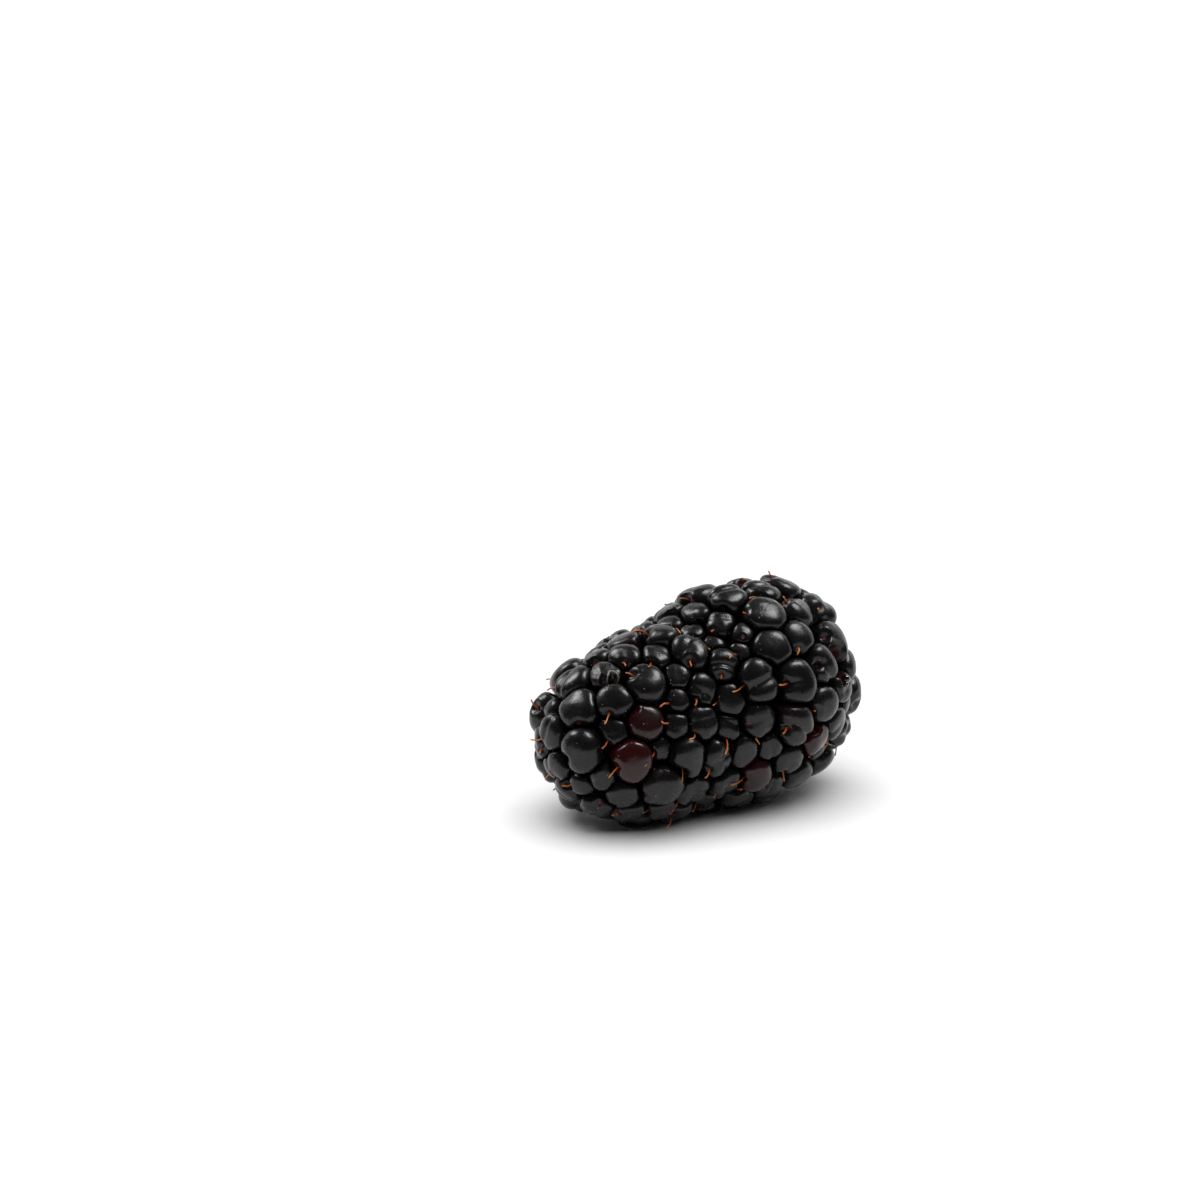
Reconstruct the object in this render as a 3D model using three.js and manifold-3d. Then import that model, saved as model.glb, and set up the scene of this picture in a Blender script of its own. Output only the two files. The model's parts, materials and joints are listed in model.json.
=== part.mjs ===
// A bramble berry as picked, lying on its side: a mass of drupelets grown fast to one
// receptacle, some with their dried styles, and the receptacle's pale end, where the stalk came
// away. Millimetres, +Z up. -X is the berry's tip and +X its stem end. It lies on z = 0, and the
// origin is on that surface, under the middle of the berry.
import * as THREE from "three";
import { ConvexHull } from "three/addons/math/ConvexHull.js";
import { mergeVertices } from "three/addons/utils/BufferGeometryUtils.js";
import Module from "manifold-3d";

// The receptacle's surface, which the middles of the drupelets lie on.
const HALF_LENGTH = 16.0;
const TIP_BELLY = 7.8; // its radius in the half towards the tip
const STEM_BELLY = 9.65; // its radius in the half towards the stem
const WAIST = [-0.35, 0.75]; // where it widens between them, as the cosine of the angle from +X
const SHOULDER = 2.6; // 2 makes it an ellipsoid, and more makes it squarer at the shoulders
const CORE_INSET = 0.5; // how far under those middles the flesh closes between drupelets

// The drupelets. Each range is one that an even draw picks from.
const DRUPELETS = 165;
const DRUPELET_RADIUS = 2.1;
const SIZES = [0.84, 1.2]; // of that radius
const SMALL_SHARE = 0.18; // the share of them that stayed small
const SMALL_SIZE = 0.66;
const WIDTHS = [0.94, 1.22]; // half axes, of a drupelet's own radius
const LENGTHS = [0.9, 1.14];
const HEIGHTS = [0.94, 1.08];
const RAISED = [-0.33, 0.22]; // how far its middle stands above the receptacle's surface
const LEANING = 0.3; // how far its outward axis strays
const TWISTS = [-0.45, 0.45]; // radians about that axis
const LAST_ALONG = 0.91; // where the spiral ends, as a share of the half length
const CROWDING = 0.86; // neighbours' middles stand this share of their two radii apart
const EASING_ROUNDS = 80;
const EASING = 0.3; // the share of what they lack that each round moves them

// The receptacle's bare end, and the pose.
const SCAR_RADIUS = 2.9;
const SCAR_REACH = 15.5; // how far from the berry's middle its face lies
const PLUG_DEPTH = 2.6;
const PLUG_TAPER = 0.8; // its inner end's radius, of its own
const PLUG_LIP = 0.5; // how far from its face it starts to round over
const DISH_DEPTH = 0.75;
const SOCKET_GAP = 0.1;
const RIM_ROOM = 0.7; // the drupelets round it stand this share of their radius clear of it
const ROLL = 3.0; // radians about the berry's own axis, before it settles
const PRESS = 0.5; // how far the lowest drupelets are flattened by the berry's weight

// The dried styles.
const STYLE_EVERY = 3; // one drupelet in this many carries one
const STYLE_ROOT = 0.6; // where it is rooted, as a share of the drupelet's radius
const STYLE_LENGTHS = [1.3, 2.1]; // beyond the drupelet's skin
const STYLE_RADIUS = 0.12;
const STYLE_LEANS = [0.6, 1.0]; // radians from the drupelet's outward axis where it leaves
const STYLE_TURNS = [-1.3, 1.3]; // radians from tipward
const STYLE_CURL = 0.12; // how far it bends on the way it leans, of its length
const STYLE_SWAYS = [-0.4, 0.4]; // and to a side
const STYLE_DROOP = 0.24; // and down over the drupelets
const STYLE_CLEARANCE = 0.8; // no style comes nearer than this to what the berry lies on

const STYLE_TAPER = 0.7; // its end's radius, of its own

// Facets.
const RINGS = [
  { angle: 0.5, points: 6 },
  { angle: 0.98, points: 9 },
];
const SEAM_MARGIN = 0.1; // a facet's corner nearer than this to a neighbour's skin is left out
const WIDEST_GAP = 0.62; // drupelets further apart than this, of a half length, share no seam
const SCAR_POINTS = 12;
const SCAR_MARGIN = 0.25;
const PLUG_SIDES = 18;
const STYLE_SIDES = 3;
const STYLE_STEPS = 3;

// Searches: how far the first step goes, what each next one keeps of it, and where they end.
const PIT_SEARCH = { first: 0.04, keeps: 0.6, last: 0.002, ways: 8 };
const LIE_SEARCH = { first: 0.05, keeps: 0.7, last: 0.0005 };
const CORE_SPAN = [-6, 4]; // how far from the receptacle's rays' feet the core's skin can lie
const CORE_HALVINGS = 16;
const SEAM_HALVINGS = 9;
const FOOT_ROUNDS = 12;

const GROUND = { width: 80, depth: 20 }; // cuts off what the weight flattens

const SEED = 47;
const GOLDEN_ANGLE = Math.PI * (3 - Math.sqrt(5));

/** A draw from 0 to 1 that depends only on a drupelet's number and on what it is for. */
function draw(number, purpose) {
  const wave = Math.sin(number * 12.9898 + purpose * 78.233 + SEED * 0.1) * 43758.5453;
  return wave - Math.floor(wave);
}

/** A draw from a range. */
function pick(number, purpose, [low, high]) {
  return low + (high - low) * draw(number, purpose);
}

function vector(x, y, z) {
  return new THREE.Vector3(x, y, z);
}

/** The receptacle's radius of belly, for the cosine of an angle from the stem end. */
function bellyAt(cosine) {
  return THREE.MathUtils.lerp(TIP_BELLY, STEM_BELLY, THREE.MathUtils.smoothstep(cosine, ...WAIST));
}

/** The point of the receptacle's surface in a direction from its middle. */
function onReceptacle(direction) {
  const unit = direction.clone().normalize();
  const along = Math.abs(unit.x) / HALF_LENGTH;
  const across = Math.hypot(unit.y, unit.z) / bellyAt(unit.x);
  return unit.multiplyScalar((along ** SHOULDER + across ** SHOULDER) ** (-1 / SHOULDER));
}

/** The receptacle's outward normal at a point of its surface. */
function receptacleNormal(point) {
  const step = 0.05;
  const out = point.clone().normalize();
  const a = vector(0, 1, 0).cross(out).normalize();
  const b = out.clone().cross(a);
  const tangents = [a, b].map((side) => {
    const ahead = onReceptacle(point.clone().addScaledVector(side, step));
    return ahead.sub(onReceptacle(point.clone().addScaledVector(side, -step)));
  });
  return tangents[0].cross(tangents[1]).normalize();
}

/** Drupelet middles: a golden-angle spiral from tip to stem, then eased apart by their sizes. */
function drupeletMiddles() {
  const radii = [];
  const middles = [];
  for (let i = 0; i < DRUPELETS; i++) {
    const size = draw(i, 1) < SMALL_SHARE ? SMALL_SIZE : 1;
    radii.push(DRUPELET_RADIUS * pick(i, 0, SIZES) * size);
    const along = -1 + ((1 + LAST_ALONG) * i) / (DRUPELETS - 1);
    const across = (1 - Math.abs(along) ** SHOULDER) ** (1 / SHOULDER) * bellyAt(along);
    const turn = i * GOLDEN_ANGLE;
    const start = vector(along * HALF_LENGTH, across * Math.cos(turn), across * Math.sin(turn));
    middles.push(onReceptacle(start));
  }
  for (let round = 0; round < EASING_ROUNDS; round++) {
    const moves = middles.map(() => vector(0, 0, 0));
    for (let i = 0; i < DRUPELETS; i++) {
      for (let j = i + 1; j < DRUPELETS; j++) {
        const apart = middles[i].clone().sub(middles[j]);
        const short = (radii[i] + radii[j]) * CROWDING - apart.length();
        if (short <= 0) continue;
        apart.setLength(short * EASING);
        moves[i].add(apart);
        moves[j].sub(apart);
      }
    }
    middles.forEach((middle, i) => {
      middle.add(moves[i]);
      const fromAxis = Math.hypot(middle.y, middle.z);
      const rim = SCAR_RADIUS + RIM_ROOM * radii[i];
      if (middle.x > 0 && fromAxis < rim) {
        middle.y *= rim / fromAxis;
        middle.z *= rim / fromAxis;
      }
      middle.copy(onReceptacle(middle));
    });
  }
  return { middles, radii };
}

/** The direction along the skin, towards the berry's tip, for an outward one. */
function tipwardOf(out) {
  const tip = vector(-1, 0, 1e-4);
  return tip.addScaledVector(out, -tip.dot(out)).normalize();
}

/** Every drupelet as a middle and three half axes: across the berry, towards its tip, and out. */
function drupeletBodies() {
  const { middles, radii } = drupeletMiddles();
  return middles.map((middle, i) => {
    const out = receptacleNormal(middle);
    const lean = vector(draw(i, 2) - 0.5, draw(i, 3) - 0.5, draw(i, 4) - 0.5);
    out.addScaledVector(lean, LEANING).normalize();
    const wide = tipwardOf(out).cross(out).applyAxisAngle(out, pick(i, 5, TWISTS));
    const long = out.clone().cross(wide);
    const radius = radii[i];
    return {
      middle: middle.clone().addScaledVector(out, pick(i, 6, RAISED)),
      radius,
      axes: [
        wide.multiplyScalar(radius * pick(i, 7, WIDTHS)),
        long.multiplyScalar(radius * pick(i, 8, LENGTHS)),
        out.multiplyScalar(radius * pick(i, 9, HEIGHTS)),
      ],
    };
  });
}

/** The outermost skin over a spot, a unit vector: how far out along its ray, and whose it is. */
function outermost(bodies, spot) {
  const { start, out } = rayOver(spot);
  let best = { reach: coreReach(start, out), owner: -1 };
  bodies.forEach((body, owner) => {
    const reach = exitFrom(body, start, out);
    if (reach > best.reach) best = { reach, owner };
  });
  return { ...best, place: start.addScaledVector(out, best.reach) };
}

/** The ray that stands on the receptacle over a spot. Rays over different spots never meet. */
function rayOver(spot) {
  const start = vector(spot.x * HALF_LENGTH, spot.y * STEM_BELLY, spot.z * STEM_BELLY);
  const out = vector(spot.x / HALF_LENGTH, spot.y / STEM_BELLY, spot.z / STEM_BELLY).normalize();
  return { start, out };
}

/** The spot whose ray passes through a point near the skin. */
function spotUnder(point) {
  const foot = point.clone();
  const spot = vector(0, 0, 0);
  for (let round = 0; round < FOOT_ROUNDS; round++) {
    spot.set(foot.x / HALF_LENGTH, foot.y / STEM_BELLY, foot.z / STEM_BELLY).normalize();
    const { start, out } = rayOver(spot);
    const height = point.clone().sub(start).dot(out);
    foot.copy(point).addScaledVector(out, -height);
  }
  return spot;
}

/** Where a ray leaves a drupelet, or minus infinity where it misses. */
function exitFrom(body, start, out) {
  let [square, half, rest] = [0, 0, -1];
  for (const axis of body.axes) {
    const scale = 1 / axis.lengthSq();
    const from = (axis.dot(start) - axis.dot(body.middle)) * scale;
    const step = axis.dot(out) * scale;
    square += step * step;
    half += step * from;
    rest += from * from;
  }
  const inside = half * half - square * rest;
  return inside < 0 ? -Infinity : (Math.sqrt(inside) - half) / square;
}

/** Where a ray leaves the flesh that closes between the drupelets. */
function coreReach(start, out) {
  let [low, high] = CORE_SPAN;
  for (let round = 0; round < CORE_HALVINGS; round++) {
    const reach = (low + high) / 2;
    const point = start.clone().addScaledVector(out, reach);
    if (point.length() < onReceptacle(point).length() - CORE_INSET) low = reach;
    else high = reach;
  }
  return low;
}

/** The spots where facets of the skin meet: over each drupelet, along its seams and in its pits. */
function skinSpots(bodies) {
  const tops = bodies.map((body) => spotUnder(body.middle.clone().add(body.axes[2])));
  const spots = [...tops];
  bodies.forEach((body, i) => {
    RINGS.forEach(({ angle, points }, ring) => {
      for (let k = 0; k < points; k++) {
        const turn = (2 * Math.PI * (k + draw(i, 20 + ring))) / points;
        const spot = spotUnder(onDrupelet(body, angle, turn));
        if (clearance(bodies, spot, i) > SEAM_MARGIN) spots.push(spot);
      }
    });
  });
  const seen = new Set();
  for (const corners of facesOf(tops)) {
    const [a, b, c] = corners.map((i) => tops[i]);
    if (Math.max(a.distanceTo(b), b.distanceTo(c), c.distanceTo(a)) > WIDEST_GAP) continue;
    const pit = pitAmong(bodies, a, b, c);
    spots.push(pit);
    corners.forEach((i, k) => {
      const j = corners[(k + 1) % 3];
      spots.push(...seamBetween(bodies, i, j, between(tops[i], pit), between(tops[j], pit)));
      const pair = [Math.min(i, j), Math.max(i, j)].join();
      if (!seen.has(pair)) spots.push(...seamBetween(bodies, i, j, tops[i], tops[j]));
      seen.add(pair);
    });
  }
  return [...spots, ...scarSpots()];
}

/** The point of a drupelet's skin at an angle from its outward axis, at a turn about that axis. */
function onDrupelet(body, angle, turn) {
  const [wide, long, out] = body.axes;
  return body.middle
    .clone()
    .addScaledVector(wide, Math.sin(angle) * Math.cos(turn))
    .addScaledVector(long, Math.sin(angle) * Math.sin(turn))
    .addScaledVector(out, Math.cos(angle));
}

/** How far one drupelet's skin over a spot stands above all the rest. */
function clearance(bodies, spot, owner) {
  const { start, out } = rayOver(spot);
  const others = bodies.filter((body, i) => i !== owner);
  return exitFrom(bodies[owner], start, out) - outermost(others, spot).reach;
}

function between(a, b) {
  return a.clone().add(b).normalize();
}

/** The spot between two others where one drupelet's skin gives way to the next, if it does. */
function seamBetween(bodies, i, j, from, to) {
  let [near, far] = [from.clone(), to.clone()];
  if (outermost(bodies, near).owner !== i || outermost(bodies, far).owner !== j) return [];
  for (let round = 0; round < SEAM_HALVINGS; round++) {
    const middle = between(near, far);
    if (outermost(bodies, middle).owner === i) near = middle;
    else far = middle;
  }
  return [near];
}

/** The deepest spot among three drupelets. */
function pitAmong(bodies, a, b, c) {
  let pit = a.clone().add(b).add(c).normalize();
  const side = vector(1, 0.3, 0.2).cross(pit).normalize();
  for (let step = PIT_SEARCH.first; step > PIT_SEARCH.last; step *= PIT_SEARCH.keeps) {
    const tries = [pit];
    for (let k = 0; k < PIT_SEARCH.ways; k++) {
      const move = side.clone().applyAxisAngle(pit, (2 * Math.PI * k) / PIT_SEARCH.ways);
      tries.push(pit.clone().addScaledVector(move, step).normalize());
    }
    const depths = tries.map((spot) => outermost(bodies, spot).reach);
    pit = tries[depths.indexOf(Math.min(...depths))];
  }
  return pit;
}

/** Spots round the receptacle's bare end. */
function scarSpots() {
  const spots = [vector(1, 0, 0)];
  for (let k = 0; k < SCAR_POINTS; k++) {
    const turn = (2 * Math.PI * k) / SCAR_POINTS;
    const rim = SCAR_RADIUS + SCAR_MARGIN;
    spots.push(spotUnder(vector(SCAR_REACH, rim * Math.cos(turn), rim * Math.sin(turn))));
  }
  return spots;
}

/** The triangles that join spots of the unit ball, as triples of their places in the list. */
function facesOf(spots) {
  const places = new Map(spots.map((spot, i) => [spot, i]));
  return new ConvexHull().setFromPoints(spots).faces.map((face) => {
    const edges = [face.edge, face.edge.next, face.edge.next.next];
    return edges.map((edge) => places.get(edge.head().point));
  });
}

/** How far an ellipsoid of those half axes reaches from its middle along a direction. */
function reachOf(axes, direction) {
  return Math.hypot(...axes.map((axis) => axis.dot(direction)));
}

/** The turn that brings the berry's weight lowest, and the lift that then sets it on z = 0. */
function layDown(bodies) {
  const weights = bodies.map((body) => body.radius ** 3);
  const total = weights.reduce((a, b) => a + b);
  const heart = vector(0, 0, 0);
  bodies.forEach((body, i) => heart.addScaledVector(body.middle, weights[i] / total));
  const height = ([roll, pitch]) => {
    const down = vector(0, 0, -1).transformDirection(turnOf(roll, pitch).invert());
    return Math.max(...bodies.map((b) => b.middle.clone().sub(heart).dot(down) + reachOf(b.axes, down)));
  };
  let best = [ROLL, 0];
  for (let step = LIE_SEARCH.first; step > LIE_SEARCH.last; step *= LIE_SEARCH.keeps) {
    for (const [roll, pitch] of [[step, 0], [-step, 0], [0, step], [0, -step]]) {
      const next = [best[0] + roll, best[1] + pitch];
      if (height(next) < height(best)) best = next;
    }
  }
  const lie = turnOf(...best);
  const low = extent(bodies, [], lie, vector(0, 0, 1)).low;
  return lie.premultiply(new THREE.Matrix4().makeTranslation(0, 0, -low - PRESS));
}

/** A turn about the berry's own axis, then one that dips its stem end. */
function turnOf(roll, pitch) {
  return new THREE.Matrix4().makeRotationY(pitch).multiply(new THREE.Matrix4().makeRotationX(roll));
}

/** The lowest and highest that drupelets and style ends reach along an axis, as they lie. */
function extent(bodies, styles, lie, axis) {
  const own = axis.clone().transformDirection(lie.clone().invert());
  const shift = vector(0, 0, 0).applyMatrix4(lie).dot(axis);
  const spans = bodies.map((b) => [b.middle.dot(own), reachOf(b.axes, own)]);
  styles.forEach((style) => spans.push([alongStyle(style, 1).dot(own), 0]));
  return {
    low: shift + Math.min(...spans.map(([middle, reach]) => middle - reach)),
    high: shift + Math.max(...spans.map(([middle, reach]) => middle + reach)),
  };
}

/** A drupelet's dried style: a thread that leaves it near its top and bends over its neighbours. */
function styleOf(body, number) {
  const out = body.axes[2].clone().normalize();
  const way = tipwardOf(out).applyAxisAngle(out, pick(number, 11, STYLE_TURNS));
  const lean = pick(number, 12, STYLE_LEANS);
  const heading = out.clone().multiplyScalar(Math.cos(lean)).addScaledVector(way, Math.sin(lean));
  const side = way.clone().cross(out);
  const bend = way.multiplyScalar(STYLE_CURL).addScaledVector(out, -STYLE_DROOP);
  return {
    root: body.middle.clone().addScaledVector(heading, body.radius * STYLE_ROOT),
    length: pick(number, 13, STYLE_LENGTHS) + body.radius * (1 - STYLE_ROOT),
    heading,
    bend: bend.addScaledVector(side, pick(number, 14, STYLE_SWAYS)),
    side,
  };
}

/** The middle of a style's thread at a share of its length. */
function alongStyle({ root, length, heading, bend }, share) {
  const point = root.clone().addScaledVector(heading, length * share);
  return point.addScaledVector(bend, length * share ** 2);
}

const wasm = await Module();
wasm.setup();

/** A closed geometry as a solid. */
function solidOf(geometry) {
  const bare = geometry.clone();
  bare.deleteAttribute("normal");
  bare.deleteAttribute("uv");
  const merged = mergeVertices(bare, 1e-5);
  return new wasm.Manifold(
    new wasm.Mesh({
      numProp: 3,
      vertProperties: merged.attributes.position.array,
      triVerts: new Uint32Array(merged.index.array),
    }),
  );
}

/** A solid's largest body as a geometry, with any space that the fusing sealed left filled. */
function geometryOf(solid) {
  const whole = solid.decompose().reduce((a, b) => (a.volume() > b.volume() ? a : b));
  const mesh = whole.getMesh();
  const geometry = new THREE.BufferGeometry();
  geometry.setAttribute("position", new THREE.BufferAttribute(mesh.vertProperties, 3));
  geometry.setIndex(new THREE.BufferAttribute(mesh.triVerts, 1));
  geometry.computeVertexNormals();
  return geometry;
}

/** The skin of all the drupelets, raised over the receptacle, as one closed body. */
function skinSolid(bodies, lie) {
  const spots = skinSpots(bodies);
  const places = spots.map((spot) => outermost(bodies, spot).place.applyMatrix4(lie));
  const skin = new THREE.BufferGeometry().setFromPoints(places);
  skin.setIndex(facesOf(spots).flat());
  return solidOf(skin);
}

/** A style as a slim three-sided solid. */
function styleSolid(style, lie) {
  const tipRadius = STYLE_RADIUS * STYLE_TAPER;
  const thread = new THREE.CylinderGeometry(tipRadius, STYLE_RADIUS, 1, STYLE_SIDES, STYLE_STEPS);
  thread.translate(0, 0.5, 0);
  const third = style.side.clone().cross(style.heading);
  const places = thread.attributes.position;
  for (let i = 0; i < places.count; i++) {
    const point = alongStyle(style, places.getY(i));
    point.addScaledVector(style.side, places.getX(i)).addScaledVector(third, places.getZ(i));
    point.applyMatrix4(lie);
    places.setXYZ(i, point.x, point.y, point.z);
  }
  return solidOf(thread);
}

/** A solid turned about the berry's axis, from its profile as [across, along] pairs. */
function turned(profile, lie) {
  const corners = profile.map(([across, along]) => new THREE.Vector2(across, along));
  return new THREE.LatheGeometry(corners, PLUG_SIDES).rotateZ(-Math.PI / 2).applyMatrix4(lie);
}

/** The receptacle's end: a short plug, dished in the middle where the stalk came away. */
function plugGeometry(lie) {
  const back = SCAR_REACH - PLUG_DEPTH;
  return turned(
    [
      [0, back],
      [SCAR_RADIUS * PLUG_TAPER, back],
      [SCAR_RADIUS, SCAR_REACH - PLUG_LIP],
      [SCAR_RADIUS * 0.86, SCAR_REACH],
      [SCAR_RADIUS * 0.4, SCAR_REACH - DISH_DEPTH * 0.2],
      [SCAR_RADIUS * 0.25, SCAR_REACH - DISH_DEPTH * 0.8],
      [0, SCAR_REACH - DISH_DEPTH],
    ],
    lie,
  );
}

/** The space that the receptacle's end sits in, open outwards. */
function socketSolid(lie) {
  const back = SCAR_REACH - PLUG_DEPTH - SOCKET_GAP;
  const mouth = SCAR_REACH + DISH_DEPTH;
  const rim = SCAR_RADIUS + SOCKET_GAP;
  const profile = [
    [0, back],
    [SCAR_RADIUS * PLUG_TAPER + SOCKET_GAP, back],
    [rim, SCAR_REACH - PLUG_LIP],
    [rim, mouth],
    [0, mouth],
  ];
  return solidOf(turned(profile, lie));
}

/** The drupelets and their styles as one body, flattened where they lie and open at the socket. */
function drupeletMass(bodies, styles, lie) {
  const grown = [skinSolid(bodies, lie), ...styles.map((style) => styleSolid(style, lie))];
  const block = new THREE.BoxGeometry(GROUND.width, GROUND.width, GROUND.depth);
  const below = solidOf(block.translate(0, 0, -GROUND.depth / 2));
  return geometryOf(wasm.Manifold.union(grown).subtract(socketSolid(lie)).subtract(below));
}

const bodies = drupeletBodies();
const lie = layDown(bodies);
const styles = bodies
  .map(styleOf)
  .filter((style, i) => i % STYLE_EVERY === 0)
  .filter((style) => alongStyle(style, 1).applyMatrix4(lie).z > STYLE_CLEARANCE);
const length = extent(bodies, styles, lie, vector(1, 0, 0));
const width = extent(bodies, styles, lie, vector(0, 1, 0));
const aside = vector(length.low + length.high, width.low + width.high, 0).multiplyScalar(-0.5);
lie.premultiply(new THREE.Matrix4().makeTranslation(aside));

const skin = new THREE.MeshStandardMaterial({ color: 0x15131a, roughness: 0.28, metalness: 0 });
const pith = new THREE.MeshStandardMaterial({ color: 0xb9a982, roughness: 0.8, metalness: 0 });

const drupelets = new THREE.Mesh(drupeletMass(bodies, styles, lie), skin);
drupelets.name = "drupelets";
const receptacleEnd = new THREE.Mesh(plugGeometry(lie), pith);
receptacleEnd.name = "receptacle_end";

const berry = new THREE.Group();
berry.add(drupelets, receptacleEnd);

export default berry;
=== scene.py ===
"""A bramble berry: fine drupelets, dried styles and the receptacle's end, dressed over the CAD frame."""

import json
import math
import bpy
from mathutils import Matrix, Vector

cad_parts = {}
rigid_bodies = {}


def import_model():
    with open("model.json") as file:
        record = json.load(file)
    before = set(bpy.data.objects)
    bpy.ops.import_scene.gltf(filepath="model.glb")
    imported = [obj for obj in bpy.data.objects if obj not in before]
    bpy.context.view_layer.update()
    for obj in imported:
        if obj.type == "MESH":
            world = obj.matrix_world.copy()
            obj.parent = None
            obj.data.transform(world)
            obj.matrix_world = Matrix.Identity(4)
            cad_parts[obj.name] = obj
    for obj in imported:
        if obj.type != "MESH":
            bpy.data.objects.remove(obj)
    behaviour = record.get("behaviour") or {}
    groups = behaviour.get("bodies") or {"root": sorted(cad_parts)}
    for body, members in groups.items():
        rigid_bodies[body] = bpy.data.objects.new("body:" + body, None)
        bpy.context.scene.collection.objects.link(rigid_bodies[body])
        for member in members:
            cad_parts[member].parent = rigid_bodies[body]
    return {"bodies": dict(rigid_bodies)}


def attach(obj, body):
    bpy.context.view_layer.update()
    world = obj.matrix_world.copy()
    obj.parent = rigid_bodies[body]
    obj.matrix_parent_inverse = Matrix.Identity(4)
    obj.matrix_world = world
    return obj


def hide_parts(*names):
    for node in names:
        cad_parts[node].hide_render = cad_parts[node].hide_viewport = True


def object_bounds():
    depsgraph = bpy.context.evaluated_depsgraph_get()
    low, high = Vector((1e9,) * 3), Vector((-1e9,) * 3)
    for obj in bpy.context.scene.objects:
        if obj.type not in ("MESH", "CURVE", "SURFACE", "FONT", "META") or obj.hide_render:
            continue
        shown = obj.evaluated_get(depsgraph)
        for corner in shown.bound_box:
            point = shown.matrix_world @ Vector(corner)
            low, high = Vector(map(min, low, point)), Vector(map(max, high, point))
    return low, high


bl_info = {
    "name": "Bramble Berry",
    "version": (1, 0, 0),
    "blender": (4, 5, 0),
    "location": "3D Viewport > Sidebar > Berry",
    "description": "Grows a ripe bramble berry over its CAD solids and sets it in a plain studio",
    "category": "Add Mesh",
}

import bmesh
import bpy
import numpy as np
from bpy.props import FloatProperty, FloatVectorProperty, IntProperty, PointerProperty
from mathutils import Vector

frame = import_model()
CAD_LOW, CAD_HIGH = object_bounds()
(BODY,) = frame["bodies"]  # the berry has no joints, so it has one body
MM = 0.001  # metres in a millimetre: all lengths up to the studio's are in millimetres

# The berry's rule, as its solids follow it. A pair is the range that a draw falls in.
SHOULDER = 2.6  # above 2, the receptacle's ends are fuller than an ellipse's
WAIST = (-0.35, 0.75)  # where its tip half widens into its stem half, as cosines from the stem end
SIZES = (0.84, 1.2)  # of the drupelet radius
SMALL_SHARE = 0.18
SMALL_SIZE = 0.66
WIDTHS = (0.94, 1.22)  # of a drupelet's own radius, as are lengths and heights
LENGTHS = (0.9, 1.14)
HEIGHTS = (0.94, 1.08)
RAISED = (-0.33, 0.22)  # how far a drupelet's middle lies outside the receptacle's outline
LEANING = 0.3
TWISTS = (-0.45, 0.45)  # radians
LAST_ALONG = 0.91  # where the spiral ends, of the half length
CROWDING = 0.86  # how near two drupelets come before they push apart, of their two radii
EASING_ROUNDS = 80
EASING = 0.3  # of what two drupelets are too near, each round
RIM_ROOM = 0.7  # of its radius that a drupelet keeps outside the scar
SCAR_RADIUS = 2.9
SCAR_REACH = 15.5  # how far along the axis the scar lies
PLUG_DEPTH = 2.6
STYLE_EVERY = 3  # one drupelet in this many carries its style in the solids
STYLE_ROOT = 0.6  # how far from its middle a drupelet's style is rooted, of its radius
STYLE_LENGTHS = (1.3, 2.1)
STYLE_LEANS = (0.6, 1.0)  # radians, as are the turns
STYLE_TURNS = (-1.3, 1.3)
STYLE_CURL = 0.12  # how far its end bends on the way that it leans, as a share of its length
STYLE_SWAYS = (-0.4, 0.4)  # and aside
STYLE_DROOP = 0.24  # and back to the skin
STYLE_CLEARANCE = 0.8  # the solids leave out a style whose end comes nearer to the floor
GOLDEN_ANGLE = math.pi * (3 - math.sqrt(5))

# Where the drupelets that ripened last sit, as directions from the berry's middle, and how red they are.
LATE_SPOTS = (
    ((-0.88, -0.43, -0.20), 1.0),
    ((-0.87, -0.48, 0.04), 0.55),
    ((0.65, -0.71, -0.28), 0.9),
    ((0.19, -0.77, -0.61), 0.8),
    ((0.49, -0.87, -0.12), 0.15),
    ((-0.79, 0.23, 0.58), 0.15),
)
RIPE_REDNESS = 0.05  # at most, of the others
DRIED_SPOT = (-0.94, -0.10, 0.32)  # where one has dried and drawn in
BURST_SPOT = (0.797, -0.515, 0.225)  # where the skins have burst, so that wet flesh shows


def settings():
    return bpy.context.scene.bramble_berry


# --- The rule that places the drupelets ---


def draw(number, purpose):
    """A draw from 0 to 1 that depends only on a drupelet's number and on what it is for."""
    wave = math.sin(number * 12.9898 + purpose * 78.233 + settings().seed * 0.1) * 43758.5453
    return wave - math.floor(wave)


def pick(number, purpose, span):
    """A draw from a range."""
    return span[0] + (span[1] - span[0]) * draw(number, purpose)


def draws(count, purpose):
    return np.array([draw(number, purpose) for number in range(count)])


def picks(count, purpose, span):
    return span[0] + (span[1] - span[0]) * draws(count, purpose)


def unit(vectors):
    return vectors / np.linalg.norm(vectors, axis=-1, keepdims=True)


def smoothstep(values, low, high):
    share = np.clip((values - low) / (high - low), 0, 1)
    return share * share * (3 - 2 * share)


def bell(values, width):
    """1 where the values are nought, falling away on both sides."""
    return np.exp(-((values / width) ** 2))


def belly_at(cosines):
    """The receptacle's radius of belly, for the cosine of an angle from the stem end."""
    form = settings()
    return (form.tip_belly + (form.stem_belly - form.tip_belly) * smoothstep(cosines, *WAIST)) / MM


def on_receptacle(directions):
    """The points of the receptacle's surface in these directions from its middle."""
    form = settings()
    along = unit(directions)
    belly = belly_at(along[:, 0])
    lengthwise = np.abs(along[:, 0]) / (form.half_length / MM)
    across = np.hypot(along[:, 1], along[:, 2]) / belly
    reach = (lengthwise**SHOULDER + across**SHOULDER) ** (-1 / SHOULDER)
    return along * reach[:, None]


def receptacle_normals(points):
    """The receptacle's outward normals at points of its surface."""
    step = 0.05
    out = unit(points)
    side = unit(np.cross([0.0, 1.0, 0.0], out))
    slopes = []
    for way in (side, np.cross(out, side)):
        slopes.append(on_receptacle(points + way * step) - on_receptacle(points - way * step))
    return unit(np.cross(*slopes))


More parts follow.
